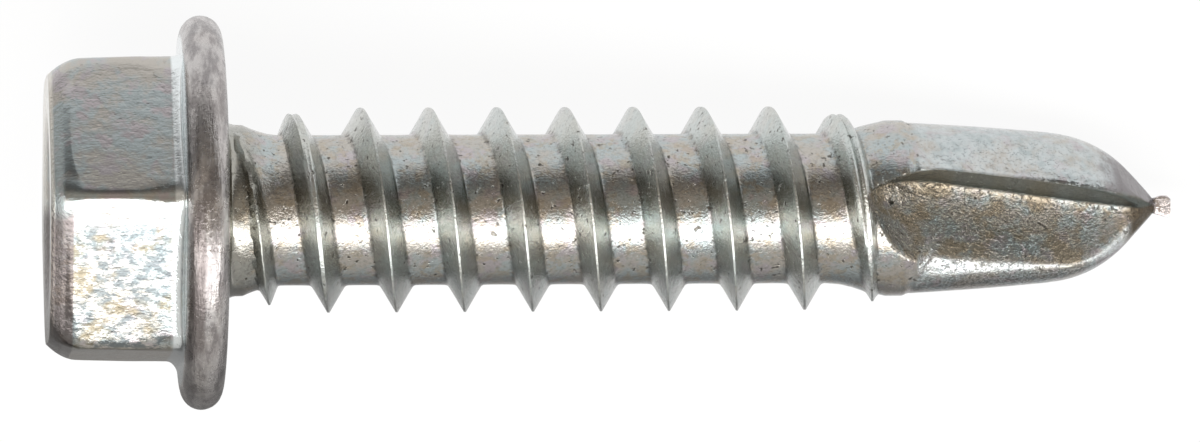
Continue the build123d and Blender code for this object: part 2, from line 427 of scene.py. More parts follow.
# rows that follow the helix: row m of a column is one pitch on after one turn, so that an edge of the
# mesh runs along the crest. Towards both ends the rows turn into plain rings. Returns the stations
# and, for each column, 1 where the next column is a row ahead
def threadGrid():
    t = threadMesh
    pitch = thread["pitch"]
    half = np.array(t["crestRows"])
    foot = half[-1]
    root = foot + (pitch - 2 * foot) * np.arange(1, t["rootRows"] + 1) / (t["rootRows"] + 1)
    offsets = np.concatenate([-half[:0:-1], half, root])
    perPitch = len(offsets)
    rows = int(round((t["end"] - t["start"]) / pitch * perPitch))
    turn = evenClock / (2 * np.pi)
    row = np.arange(rows + 1)[:, None]
    helixRow = row - np.floor(turn * perPitch).astype(int)[None, :]
    ring = t["start"] + (t["end"] - t["start"]) * row / rows
    startPitch = (t["start"] - thread["crestPhase"]) / pitch
    firstPitch = np.round(startPitch)
    shift = int(round((startPitch - firstPitch) * perPitch)) + len(half) - 1
    index = helixRow + shift
    pitches = firstPitch + np.floor_divide(index, perPitch)
    station = thread["crestPhase"] + pitch * (pitches + turn[None, :]) + offsets[index % perPitch]
    station = station + lateness(station) - thread["crestWobble"] * np.cos(evenClock)[None, :]
    inside = np.minimum(ring - t["start"], t["end"] - ring)
    station = mix(ring, station, smoothStep(inside, 0, t["fade"]))
    step = np.floor(np.append(turn, turn[0] + 1) * perPitch).astype(int)
    return station, np.diff(step)


flutes = {
    "clock": 109.5,           # middle of the first flute
    "lipAngle": 43.5,         # from the middle to the cutting lip
    "heelAngle": 26.0,        # from the middle to the far edge, which is worn back
    "heelAngleBehind": 43.5,  # of the second flute
    "middle": 20.3,           # station where the section is taken
    "footAcross": 0.72,       # foot of the wall, across from the middle and out from the axis
    "footOut": 0.47,
    "footRounding": 0.18,
    "sagitta": 0.18,          # depth of the hollow floor under its chord
    "yaw": 8.0,               # slant to the screw's axis
    "scoopStart": 19.0,
    "scoopRadius": 2.3,
    "lipRounding": 0.06,
    "heelRounding": 0.25,
    "leastRounding": 0.01,
    "lipFrom": (-0.4, 0.4),   # across, from the heel's rounding to the lip's
    "softFrom": (0.2, 1.2),   # out from the axis, where a rounding comes in
    "heelBevel": 0.825,       # height of the worn heel, as a share of the drill's radius
    "noseBevel": 0.13,        # less at the nose
    "noseFrom": (22.6, 24.2),
    "noseHeel": (0, 0.4),     # across, towards the heel
    "bevelRounding": 0.12,
    "bevelFrom": (18.0, 18.5),
    "unworn": 3.0,            # a height over the axis that nothing reaches
    "cutFrom": 16.5,          # nothing is cut at lower stations
    "wallMark": 0.05,         # half widths of the marks for the material
    "wornMark": 0.06,
    "carvedMark": (0, 0.05),  # depth of cut
    "seamColumn": 2.5,        # the crack along the lip, in columns before it
    "seamWidth": 0.45,
    "seamFrom": (18.8, 19.0),
    "seamTo": (23.6, 24.2),
    "columnsFrom": 0.45,      # length over which the columns turn to the flutes' edges
    "lipLimits": (6, 60),     # angles that the columns may follow
    "heelLimits": (-60, -28),
    "searchAngle": 70,
    "searchSteps": 701,
}

point = {
    "flatClock": 40.0,         # clearance behind each cutting lip
    "flatDepth": 0.07,
    "landClock": 49.0,         # the land beside each lip is ground flat
    "landHalfAngle": 18.0,
    "landRounding": 0.03,
    "landFrom": (0.05, 0.35),  # past the start of the drill
    "burrStations": [24.72, 24.84, 25.1, 25.3, 25.375],
    "burrUp": [0.05, 0.17, 0.28, 0.27, 0.18],
    "burrDown": [0.05, 0.19, 0.26, 0.31, 0.27],
    "burrHalf": 0.07,          # half its thickness
    "burrPower": 5,
    "burrNone": 1e-4,          # half size where there is none
    "rows": 70,
    "rowPower": 0.8,           # closer together towards the tip
    "pole": 0.01,              # from the last ring to the closing vertex
}


# height of the flute's floor over the axis, at a place across and a station. The section is the soft
# larger of a straight wall, from the foot to the lip, and a hollow arc, through the foot and the
# heel. Behind the scoop's start each height swings up on a circle. Side is -1 for the second flute
def fluteHeight(across, station, side=1.0):
    f = flutes
    yaw = np.radians(f["yaw"])
    back = station - f["middle"]
    along = back * np.cos(yaw) - across * np.sin(yaw) + f["middle"]
    u = back * np.sin(yaw) + across * np.cos(yaw)
    taper = np.tan(np.radians(shank["drillTaper"]))
    land = shank["drillDiameter"] / 2 - (f["middle"] - shank["drillStart"]) * taper
    lip = land * np.sin(np.radians(f["lipAngle"]))
    lipOut = land * np.cos(np.radians(f["lipAngle"]))
    heelAngle = np.radians(np.where(side > 0, f["heelAngle"], f["heelAngleBehind"]))
    heel = land * np.sin(heelAngle)
    heelOut = land * np.cos(heelAngle)
    wall = f["footOut"] + (u - f["footAcross"]) * (lipOut - f["footOut"]) / (lip - f["footAcross"])
    chord = np.hypot(heel + f["footAcross"], heelOut - f["footOut"])
    fall = np.arctan2(heelOut - f["footOut"], heel + f["footAcross"])
    arc = (chord ** 2 / 4 + f["sagitta"] ** 2) / (2 * f["sagitta"])
    centre = (f["footAcross"] - heel) / 2 + np.sin(fall) * (arc - f["sagitta"])
    centreOut = (f["footOut"] + heelOut) / 2 + np.cos(fall) * (arc - f["sagitta"])
    floor = centreOut - np.sqrt(np.maximum(arc ** 2 - (u - centre) ** 2, 0))
    height = softMax(floor, wall, f["footRounding"])
    axisOut = f["footOut"] + f["scoopRadius"]
    behind = np.maximum(f["scoopStart"] - along, 0)
    reach = axisOut - height
    swung = axisOut - np.sqrt(np.maximum(reach ** 2 - behind ** 2, 0))
    onWall = smoothStep(wall - floor, -f["wallMark"], f["wallMark"])
    return np.where(behind > 0, np.where(reach > behind, swung, axisOut), height), onWall


# lip and heel angles of the first flute on each ring, from its middle: the last of many small steps
# at which the circle is still outside the flute's floor
def fluteEdges(station, radius):
    def lastInside(angles):
        across = radius[:, None] * np.sin(angles)
        depth = radius[:, None] * np.cos(angles) - fluteHeight(across, station[:, None])[0]
        inside = depth > 0
        last = inside.shape[1] - 1 - np.argmax(inside[:, ::-1], axis=1)
        return np.where(inside.any(axis=1), angles[last], 0)
    fine = np.radians(np.linspace(0, flutes["searchAngle"], flutes["searchSteps"]))
    lip = np.clip(lastInside(fine), *np.radians(flutes["lipLimits"]))
    heel = np.clip(lastInside(-fine), *np.radians(flutes["heelLimits"]))
    return lip, heel


# clocks of the drill's columns: the lip and the heel keep their columns, the rest are spread evenly,
# and both flutes are alike half a turn apart
def drillClocks(station, radius):
    lip, heel = fluteEdges(station, radius)
    c = columnClocks
    half = columns // 2
    place = (column - c["lipColumn"]) % half
    halfTurn = (column - c["lipColumn"]) // half
    middle = np.radians(flutes["clock"])
    start = (middle - lip)[:, None]
    end = (middle - heel)[:, None]
    inFlute = mix(start, end, place / c["fluteColumns"])
    onLand = mix(end, start + np.pi, (place - c["fluteColumns"]) / (half - c["fluteColumns"]))
    clock = np.where(place < c["fluteColumns"], inFlute, onLand) + np.pi * halfTurn
    share = smoothStep(station, shank["drillStart"], shank["drillStart"] + flutes["columnsFrom"])[:, None]
    return mix(evenClock[None, :], clock, share)


# radius left by the flats behind the lips: a plane that leans as the cone does, a little below it,
# so its distance from the axis over cos(angle from its middle)
def flatRadius(station, clock):
    cone = np.radians(shank["pointAngle"] / 2)
    facing = np.abs(np.cos(clock - np.radians(point["flatClock"])))
    room = -point["flatDepth"] - np.sin(cone) * (station - shank["length"])
    return np.maximum(room, 0) / (np.cos(cone) * np.maximum(facing, 0.02))


# radius left by the flat lands beside the lips: a chord of the ring's circle, so the radius times
# cos(half angle) over cos(angle from the middle)
def landRadius(station, clock, radius):
    fromMiddle = np.cos(2 * (clock - np.radians(point["landClock"])))
    facing = np.sqrt(np.maximum((1 + fromMiddle) / 2, 1e-4))
    chord = radius * np.cos(np.radians(point["landHalfAngle"])) / facing
    low, high = point["landFrom"]
    share = smoothStep(station, shank["drillStart"] + low, shank["drillStart"] + high)
    return mix(radius, blendMin(chord, radius, point["landRounding"]), share)


# both flutes cut a point of the shank: its height over the axis becomes the soft smaller of itself
# and the floor's, and then of the worn heel's flat. Returns the new radius and clock, the depth of
# the cut, and the marks of the wall and of the worn heel
def cutFlutes(station, clock, radius):
    f = flutes
    turned = np.radians(f["clock"]) - clock
    across = radius * np.sin(turned)
    out = radius * np.cos(turned)
    side = np.where(out < 0, -1.0, 1.0)
    toLip = side * across
    height, onWall = fluteHeight(toLip, station, side)
    rounding = mix(f["heelRounding"], f["lipRounding"], smoothStep(toLip, *f["lipFrom"]))
    rounding = rounding * smoothStep(np.abs(out), *f["softFrom"]) + f["leastRounding"]
    cut = blendMin(np.abs(out), height, rounding)

    nearNose = smoothStep(station, *f["noseFrom"]) * smoothStep(-toLip, *f["noseHeel"])
    bevel = f["heelBevel"] - f["noseBevel"] * nearNose
    worn = mix(f["unworn"], bevel * drillRadius(station), smoothStep(station, *f["bevelFrom"]))
    onWorn = smoothStep(height - worn, -f["wornMark"], f["wornMark"])
    onWorn = onWorn * smoothStep(np.abs(out) - worn, -f["wornMark"], f["wornMark"])
    cut = blendMin(cut, worn, f["bevelRounding"])
    cut = np.where(station > f["cutFrom"], cut, np.abs(out))

    newClock = np.radians(f["clock"]) - np.arctan2(across, side * cut)
    newClock = np.where(radius > 0.05, newClock, clock)
    return np.hypot(across, cut), newClock, np.abs(out) - cut, onWall, onWorn * (toLip < 0)


# thin flash at the tip, an oblong with round corners: the sum of |cos / half height| and
# |sin / half thickness|, each to a high power, to the power of -1 over it
def burrRadius(station, clock):
    stations, power, none = point["burrStations"], point["burrPower"], point["burrNone"]
    up = np.interp(station, stations, point["burrUp"], left=0)
    down = np.interp(station, stations, point["burrDown"], left=0)
    tall = np.maximum(np.where(np.cos(clock) > 0, up, down), none)
    thick = np.where(station > stations[0], point["burrHalf"], none)
    return (np.abs(np.cos(clock) / tall) ** power + np.abs(np.sin(clock) / thick) ** power) ** (-1 / power)


# faces between the rings: column to next column of two rings make a quad. Where the helix gains a
# row, the next column is taken one ring on, and triangles fill the two ends. The two last vertices
# close the dish and the tip
def joinRings(rings, firstHelix, lastHelix, step):
    def cell(ring, place):
        return ring * columns + place

    def band(low, high, wanted, climb):
        i, j = np.meshgrid(np.arange(low, high - climb), wanted, indexing="ij")
        k = nextColumn[j]
        corners = [cell(i, j), cell(i + climb, k), cell(i + climb + 1, k), cell(i + 1, j)]
        return np.stack(corners, axis=-1).reshape(-1, 4)

    level, climbing = column[step == 0], column[step == 1]
    quads = np.vstack([
        band(0, firstHelix, column, 0),
        band(firstHelix, lastHelix, level, 0),
        band(firstHelix, lastHelix, climbing, 1),
        band(lastHelix, rings - 1, column, 0),
    ])
    j, k = climbing, nextColumn[climbing]
    end = rings - 1
    dishPole, tipPole = np.full(columns, rings * columns), np.full(columns, rings * columns + 1)
    triangles = np.vstack([
        np.stack([cell(firstHelix, j), cell(firstHelix, k), cell(firstHelix + 1, k)], -1),
        np.stack([cell(lastHelix - 1, j), cell(lastHelix, k), cell(lastHelix, j)], -1),
        np.stack([dishPole, cell(0, nextColumn), cell(0, column)], -1),
        np.stack([cell(end, column), cell(end, nextColumn), tipPole], -1),
    ])
    return quads.tolist() + triangles.tolist()


# every ring of the screw, from the dish to the burr: x = station, y = radius cos(clock) - offset,
# z = radius sin(clock). Returns vertices, faces and the marks for the material
def buildScrew():
    f, p = flutes, point
    headStation, headRadius, headOffset = headRows()
    headClock = headClocks()[None, :] + 0 * headStation

    station, step = threadGrid()
    clock = evenClock[None, :] + 0 * station
    blend = smoothStep(station, threadMesh["start"], threadMesh["start"] + threadMesh["hexFade"])
    clock = mix(headClocks()[None, :], clock, blend)
    radius, threadMarks = threadRadius(station, clock)

    tipStation = p["burrStations"][-1]
    share = evenSteps(p["rows"])[:, 0]
    drillStation = mix(threadMesh["end"], tipStation, share ** p["rowPower"])
    drillClock = drillClocks(drillStation, np.maximum(coreRadius(drillStation), 0.3))
    ring = drillStation[:, None] + 0 * drillClock
    drillOut = landRadius(ring, drillClock, coreRadius(ring))
    drillOut = np.minimum(drillOut, flatRadius(ring, drillClock))
    drillOffset = -shank["tipOffset"] * smoothStep(ring, *shank["tipOffsetFrom"])
    fromSeam = column - columnClocks["lipColumn"] + f["seamColumn"]
    seam = np.exp(-(fromSeam / f["seamWidth"]) ** 2) + 0 * ring
    seam = seam * smoothStep(ring, *f["seamFrom"]) * (1 - smoothStep(ring, *f["seamTo"]))

    allStation = np.vstack([headStation, station, ring])
    allClock = np.vstack([headClock, clock, drillClock])
    allRadius = np.vstack([headRadius, radius, drillOut])
    offset = np.vstack([headOffset, 0 * station, drillOffset])
    allRadius, allClock, cutDepth, wall, worn = cutFlutes(allStation, allClock, allRadius)
    burr = np.where(allStation > p["burrStations"][0], burrRadius(allStation, allClock), 0)
    allRadius = np.maximum(allRadius, burr)

    carved = smoothStep(cutDepth, *f["carvedMark"])
    marks = {
        "carved": carved,
        "wall": wall * carved,
        "worn": worn * smoothStep(allStation, *f["bevelFrom"]),
        "seam": np.vstack([0 * headStation, 0 * station, seam]),
    }
    for name, values in threadMarks.items():
        marks[name] = np.vstack([0 * headStation, values, 0 * ring]) * (1 - carved)

    y = allRadius * np.cos(allClock) - offset
    z = allRadius * np.sin(allClock)
    grid = np.stack([allStation, y, z], -1)
    dish = [-head["height"] + head["dishDepth"], 0, 0]
    tip = [tipStation + p["pole"], 0, 0]
    vertices = np.vstack([grid.reshape(-1, 3), [dish, tip]])
    firstHelix = len(headStation)
    faces = joinRings(len(grid), firstHelix, firstHelix + len(station) - 1, step)
    return vertices, faces, marks


# the mesh of the screw, laid down and in metres, with the marks and the unlaid place as attributes
def makeScrew():
    vertices, faces, marks = buildScrew()
    placed = vertices @ np.array(lyingTurn()).T * millimetre
    mesh = bpy.data.meshes.new("screw")
    mesh.from_pydata(placed.tolist(), [], faces)
    mesh.validate()
    mesh.shade_smooth()
    mesh.set_sharp_from_angle(angle=np.radians(38))
    for name, values in marks.items():
        mark = mesh.attributes.new(name, "FLOAT", "POINT")
        mark.data.foreach_set("value", np.append(values, np.zeros(2)).astype(np.float32))
    place = mesh.attributes.new("place", "FLOAT_VECTOR", "POINT")
    place.data.foreach_set("vector", vertices.astype(np.float32).ravel())
    made = bpy.data.objects.new("screwBody", mesh)
    bpy.context.scene.collection.objects.link(made)
    print("screw built:", len(vertices), "vertices", len(faces), "faces")
    return made


screw = makeScrew()


# a socket in a shader tree, so that sums on values are written as sums
class Wire:
    tree = None  # the tree that is being built

    def __init__(self, socket):
        self.socket = socket

    # any node: its kind, its settings, which are set first, and values or wires for its sockets
    @classmethod
    def node(cls, kind, settings, inputs, output=0):
        made = cls.tree.nodes.new(kind)
        for name, value in settings.items():
            if name == "stops":
                ramp = made.color_ramp.elements
                while len(ramp) < len(value):
                    ramp.new(0.5)
                for stop, (place, colour) in zip(ramp, value):
                    stop.position = place
                    stop.color = (*colour, 1)
            else:
                setattr(made, name, value)
        for name, value in inputs.items():
            if isinstance(value, Wire):
                cls.tree.links.new(value.socket, made.inputs[name])
            else:
                made.inputs[name].default_value = value
        return cls(made.outputs[output])

    @staticmethod
    def math(operation, a, b):
        return Wire.node("ShaderNodeMath", {"operation": operation}, {0: a, 1: b})

    def __add__(self, other):
        return Wire.math("ADD", self, other)

    __radd__ = __add__

    def __mul__(self, other):
        return Wire.math("MULTIPLY", self, other)

    __rmul__ = __mul__

    def __sub__(self, other):
        return Wire.math("SUBTRACT", self, other)

    def __rsub__(self, other):
        return Wire.math("SUBTRACT", other, self)

    # S curve, 0 at low and 1 at high
    def between(self, low, high):
        settings = {"interpolation_type": "SMOOTHSTEP"}
        inputs = {"Value": self, "From Min": low, "From Max": high}
        return Wire.node("ShaderNodeMapRange", settings, inputs)

    # one colour where this mask is 0, the other where it is 1
    def colours(self, first, second):
        def four(colour):
            return colour if isinstance(colour, Wire) else (*colour, 1)
        inputs = {0: self, 6: four(first), 7: four(second)}
        return Wire.node("ShaderNodeMix", {"data_type": "RGBA"}, inputs, 2)


# arithmetic on vectors, coordinate by coordinate
def vectorMath(operation, a, b):
    return Wire.node("ShaderNodeVectorMath", {"operation": operation}, {0: a, 1: b})


# one coordinate of a vector
def coordinate(vector, axis):
    return Wire.node("ShaderNodeSeparateXYZ", {}, {"Vector": vector}, axis)


# length of a vector after each of its coordinates is multiplied by a share
def lengthOf(vector, shares):
    stretched = vectorMath("MULTIPLY", vector, shares)
    return Wire.node("ShaderNodeVectorMath", {"operation": "LENGTH"}, {0: stretched}, "Value")


# uneven value from 0 to 1: layers of noise, each finer than the last and fainter by the roughness
def noise(place, scale, detail=3, roughness=0.55, stretch=(1, 1, 1)):
    if stretch != (1, 1, 1):
        place = vectorMath("MULTIPLY", place, stretch)
    inputs = {"Vector": place, "Scale": scale, "Detail": detail, "Roughness": roughness}
    return Wire.node("ShaderNodeTexNoise", {}, inputs)


# a mark or a vector that the mesh carries: output 2 is its value, 1 its vector
def attribute(name, output=2):
    return Wire.node("ShaderNodeAttribute", {"attribute_name": name}, {}, output)


zinc = {
    "warm": (0.50, 0.475, 0.435),
    "cool": (0.45, 0.50, 0.505),
    "mauve": (0.50, 0.465, 0.475),
    "brown": (0.46, 0.40, 0.31),
    # grime, and painted shade in the thread's feet, under the washer and on the land's lower side
    "grimeAndShade": (0.10, 0.09, 0.075),
    # painted shade on the flute's wall
    "wall": (0.105, 0.12, 0.11),
    # painted light: flanks lighter, for the light that bounces between them
    "flank": (0.66, 0.69, 0.66),
    # painted highlight on the fillet at the hex's foot
    "fillet": (0.84, 0.88, 0.89),
    "rim": (0.57, 0.54, 0.53),
    "rimDark": (0.30, 0.275, 0.275),  # streaks along the rim
    "shadeBand": (0.155, 0.13, 0.125),  # painted shade on the end's chamfer over the lower flat, and on the rim
    # grime and painted shade on the neck under the washer
    "neck": (0.40, 0.39, 0.35),
    "flash": (0.90, 0.85, 0.77),
    # polish, and painted highlight on the land's top and the worn heel
    "polishAndHighlight": (0.62, 0.66, 0.67),
    "blueStain": (0.155, 0.18, 0.19),
    "yellowStain": (0.22, 0.19, 0.13),
    # yellow tint and painted highlight on the flat that faces down
    "lowerFlatTintAndHighlight": (0.85, 0.76, 0.62),
    "burr": (0.80, 0.74, 0.73),
    "nose": (0.25, 0.235, 0.24),
    "chisel": (0.11, 0.09, 0.065),
}

# where a finish, or a painted highlight or shade, starts and is full and, if it has two sides, where it
# fades and ends: along the screw (X), across it (Y) or out from its axis
zones = {
    "head": ("X", -0.9, -1.2),
    "endFace": ("X", -4.2, -4.35),
    "cutEnd": ("X", -4.48, -4.56),  # rough strip on the chamfer
    # painted shade on the end's chamfer, on its lower side
    "endShade": ("X", -4.66, -4.58, -4.06, -4.0),
    "endShadeLower": ("Y", 0.3, -0.3),
    "panel": ("Y", -3.7, -3.5, -0.6, -0.1),  # stained flat under the middle
    "panelFoot": ("X", -1.42, -1.52),
    # the flat that faces down, with a yellow tint and painted highlight
    "lowerFlatTintAndHighlight": ("Y", -3.4, -3.7),
    # the fillet at the hex's foot, where a highlight is painted
    "fillet": ("X", -1.44, -1.36, -1.08, -0.98),
    "rim": ("out", 4.55, 4.75),
    # painted shade on the rim's head side, below the middle, cutting back the lamp's highlight
    "rimShade": ("X", -0.58, -0.70),
    "rimShadeHeight": ("Y", -4.2, -3.2, -0.4, 0.6),
    # the neck under the washer, where grime and painted shade are laid
    "neck": ("X", 0.05, 0.12, 0.6, 1.2),
    "shank": ("X", 0.1, 0.6, 18.2, 18.6),
    "firstTurn": ("X", 0.7, 1.0, 1.9, 2.4),
    "collar": ("X", 17.4, 17.6, 18.35, 18.5),
    "collarTop": ("Y", 1.6, 1.1),
    "land": ("X", 18.3, 18.5),
    # upper side of the land, where a highlight is painted
    "landTop": ("Y", 0.2, 0.8),
    # lower side of the land, where painted shade is laid
    "landBottom": ("Y", -1.2, -1.6),
    "landHighlightEnd": ("X", 23.9, 23.5),
    "nose": ("X", 23.0, 23.8),
    "chisel": ("X", 24.0, 24.35),
    "burr": ("X", 24.9, 25.0),
}

# single spots: their place, how much each axis counts, and the distances where they start and are full
spots = {
    "flash": ((18.0, 0.40, 1.9), (0.8, 1.6, 0.5), 0.8, 0.55),  # crumpled metal behind the flute
    "pit": ((17.72, 0.16, 1.8), (1, 1.6, 0.2), 0.14, 0.08),
}

# noises: how many to a millimetre, detail, roughness and how much each axis counts
grain = {
    "blotch": (0.8, 3),
    "middle": (3.6, 4, 0.6),
    "fine": (15, 4, 0.65),
    "streak": (9, 3, 0.6, (0.3, 1, 1)),
    "turned": (5, 4, 0.7, (1, 0.12, 0.12)),
    "rimGrain": (9, 3),
    "scored": (12, 3, 0.6, (1, 0.05, 0.05)),
    "crumple": (6, 3, 0.65),
    "sawn": (9, 3, 0.6),
}

# patches: the noise's values where one starts and where it is full, then the noise
patches = {
    "mauve": ((0.52, 0.68), 1.7, 2),
    "brown": ((0.44, 0.62), 1.1, 3, 0.6),
    "rust": ((0.5, 0.62), 2.4, 4, 0.65),
    # patches of painted highlight on the land's top
    "polishAndHighlight": ((0.3, 0.65), 3, 4, 0.65),
    "mottle": ((0.41, 0.57), 4.5, 5, 0.75, (0.6, 1, 1)),
    "yellow": ((0.45, 0.6), 1.3, 2),
    "rimStreak": ((0.38, 0.6), 3.2, 4, 0.7, (1, 0.3, 0.3)),
    "pits": ((0.62, 0.68), 5.5, 3, 0.6),
    "cracks": ((0.46, 0.54), 2.5, 3, 0.6, (0.5, 1, 1)),
    "soot": ((0.58, 0.34), 10, 5, 0.75),
    "sparkle": ((0.53, 0.64), 9, 3, 0.6),
}

sheen = {"plain": 0.12, "middle": 0.14, "carved": 0.04, "rim": 0.14, "shank": 0.05}

# heights of the bump, millimetres
relief = {
    "fine": 0.010,
    "middle": 0.010,
    "streak": 0.004,
    "pits": 0.01,
    "cracks": 0.02,
    "turned": 0.05,
    "rimGrain": 0.005,
    "scored": 0.02,
    "fluteSparkle": 0.035,
    "landSparkle": 0.006,
    "rimSparkle": 0.002,
    "crumple": 0.3,
    "sawn": 0.03,
    "pit": 0.03,
    "firstTurn": 0.02,
    "land": 0.014,
}


# zinc plate: patches of warm and cool metal, then one coat after another, each colour mixed over the last by
# its mask, some coats being painted highlight or painted shade, then grime with painted shade by the sum of
# its shares. The bump sums grain times mask times height
def zincPlate():
    steel = bpy.data.materials.new("zincPlate")
    steel.use_nodes = True
    Wire.tree = steel.node_tree
    bsdf = Wire.tree.nodes["Principled BSDF"]
    place = attribute("place", 1)
    names = ("carved", "foot", "crest", "wall", "seam", "flank", "worn")
    carved, foot, crest, wall, seam, flank, worn = (attribute(name) for name in names)
    measured = {"X": coordinate(place, "X"), "Y": coordinate(place, "Y"), "out": lengthOf(place, (0, 1, 1))}

    def zone(name):
        axis, start, full, *farSide = zones[name]
        mask = measured[axis].between(start, full)
        return mask * measured[axis].between(*farSide[::-1]) if farSide else mask

    def grained(name):
        return noise(place, *grain[name])

    def patch(name):
        edges, *settings = patches[name]
        return noise(place, *settings).between(*edges)

    # mask by the distance from a spot, uneven by an added value
    def spot(name, uneven=0.0):
        centre, shares, start, full = spots[name]
        return (lengthOf(vectorMath("SUBTRACT", place, centre), shares) + uneven).between(start, full)

    onHead = zone("head")
    onRim = zone("rim")
    onShank = zone("shank") * (1 - carved)
    onLand = zone("land") * (1 - carved)
    cutEnd = zone("cutEnd")
    neck = zone("neck")
    middle = grained("middle")
    fine = grained("fine")
    flash = spot("flash", middle * 0.5)
    pit = spot("pit")
    pits = patch("pits") * (0.2 + onShank * 0.6 + carved * 0.4)
    cracks = seam * patch("cracks")

    colour = (grained("blotch") * 0.7 + middle * 0.3).between(0.42, 0.58).colours(zinc["warm"], zinc["cool"])
    panel = onHead * zone("panel") * zone("panelFoot")
    panelStain = patch("yellow").colours(zinc["blueStain"], zinc["yellowStain"])
    rimColour = patch("rimStreak").colours(zinc["rimDark"], zinc["rim"])
    coats = [
        (patch("mauve"), zinc["mauve"]),
        (patch("brown") * carved, zinc["brown"]),
        (zone("nose") * (1 - carved), zinc["nose"]),
        # painted highlight on the land's upper side
        (patch("polishAndHighlight") * onLand * zone("landTop") * zone("landHighlightEnd") * 0.7, zinc["polishAndHighlight"]),
        # yellow tint and painted highlight on the flat that faces down
        (onHead * zone("lowerFlatTintAndHighlight") * 0.6, zinc["lowerFlatTintAndHighlight"]),
        # wear on the heel, lighter still as a painted highlight
        (worn * 0.7, zinc["polishAndHighlight"]),
        (zone("chisel") * carved, zinc["chisel"]),
        # painted shade on the flute's wall
        (wall, zinc["wall"]),
        (zone("burr"), zinc["burr"]),
        # painted light: the flanks lighter, for the light that bounces between them
        (flank * 0.6, zinc["flank"]),
        # painted highlight on the fillet at the hex's foot
        (zone("fillet") * (1 - onRim), zinc["fillet"]),
        (panel * patch("mottle") * 0.9, panelStain),
        (cutEnd * 0.6, zinc["flash"]),
        # painted shade on the end's chamfer, lower side
        (onHead * zone("endShade") * zone("endShadeLower") * 0.85, zinc["shadeBand"]),
        (onRim * 0.9, rimColour),
        # painted shade on the rim
        (onRim * zone("rimShade") * zone("rimShadeHeight") * 0.7, zinc["shadeBand"]),
        (flash, zinc["flash"]),
        # grime and painted shade under the washer
        (neck * 0.8, zinc["neck"]),
        (patch("rust") * onShank * (1 - flank) * 0.6, zinc["brown"]),
    ]
    for mask, coat in coats:
        colour = mask.colours(colour, coat)

    # grime from pits, cracks, the pit and soot, and painted shade in the thread's feet and under the washer
    dirtAndShade = foot * (middle.between(0.35, 0.6) * 0.4 + 0.1) + pits + neck * 0.1 + pit * 1.2 + cracks * 0.8
    # painted shade, speckled, on the land's lower side
    dirtAndShade = dirtAndShade + onLand * zone("landBottom") * fine.between(0.35, 0.65) * 0.7
    dirtAndShade = dirtAndShade + patch("soot") * (0.12 + onShank * 0.3 + carved * 0.25)
    colour = dirtAndShade.between(0, 1.2).colours(colour, zinc["grimeAndShade"])

    rough = sheen["plain"] + middle.between(0.4, 0.8) * sheen["middle"] + carved * sheen["carved"]
    rough = rough + onRim * sheen["rim"] - onShank * sheen["shank"]

    fineShare = 0.3 + carved * (1 - worn * 0.3) * 2.8 + onShank * 0.9 + zone("endFace") * 2.5 + crest * 0.8
    height = fine * fineShare * relief["fine"]
    height = height + middle * relief["middle"] * (0.4 + carved * 0.5 + onHead * 0.4)
    height = height + middle * zone("firstTurn") * relief["firstTurn"]
    height = height + middle * onLand * relief["land"]
    grains = {
        "streak": onHead * (1 - onRim),
        "turned": onRim,
        "rimGrain": onRim,
        "scored": zone("collar") * zone("collarTop") * (1 - carved),
        "crumple": flash,
        "sawn": cutEnd,
    }
    for name, mask in grains.items():
        height = height + grained(name) * mask * relief[name]
    height = height - pits * relief["pits"] - cracks * relief["cracks"] - pit * relief["pit"]
    sparkling = carved * (1 - wall) * (1 - worn * 0.5) * relief["fluteSparkle"]
    sparkling = sparkling + onLand * relief["landSparkle"] + onRim * relief["rimSparkle"]
    height = height + patch("sparkle") * sparkling
    bump = Wire.node("ShaderNodeBump", {}, {"Height": height, "Strength": 1.0, "Distance": 0.001})

    for name, wire in (("Base Color", colour), ("Roughness", rough), ("Normal", bump)):
        Wire.tree.links.new(wire.socket, bsdf.inputs[name])
    bsdf.inputs["Metallic"].default_value = 1
    return steel


screw.data.materials.append(zincPlate())
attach(screw, "root")
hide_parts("screw")
print("screw plated")

view = {
    "turn": 5.211,       # degrees about the view's upright
    "tip": 0.472,
    "spin": 0.185,
    "aim": 11.0,         # station at the middle of the view
    "across": 0.919,
    "up": 0.319,
    "distance": 250.65,
    "lens": 282.84,
    "sensor": 36,
    "clip": (0.01, 10),  # metres
}


# the camera looks square at clock 90 of the screw, then turns, tips and spins a little: its place is
# the aim plus its distance along the turned view
def placeCamera():
    turn = Matrix.Rotation(np.radians(view["turn"]), 3, "Y")
    tip = Matrix.Rotation(np.radians(view["tip"]), 3, "X")
    spin = Matrix.Rotation(np.radians(view["spin"]), 3, "Z")
    seen = spin @ tip @ turn
    toWorld = lyingTurn()
    place = seen.transposed() @ Vector((-view["across"], -view["up"], view["distance"]))
    place = toWorld @ (place + Vector((view["aim"], 0, 0))) * millimetre
    data = bpy.data.cameras.new("camera")
    data.lens = view["lens"]
    data.sensor_width = view["sensor"]
    data.clip_start, data.clip_end = view["clip"]
    camera = bpy.data.objects.new("camera", data)
    camera.matrix_world = Matrix.Translation(place) @ (toWorld @ seen.transposed()).to_4x4()
    bpy.context.scene.collection.objects.link(camera)
    bpy.context.scene.camera = camera
    print("camera placed")


placeCamera()

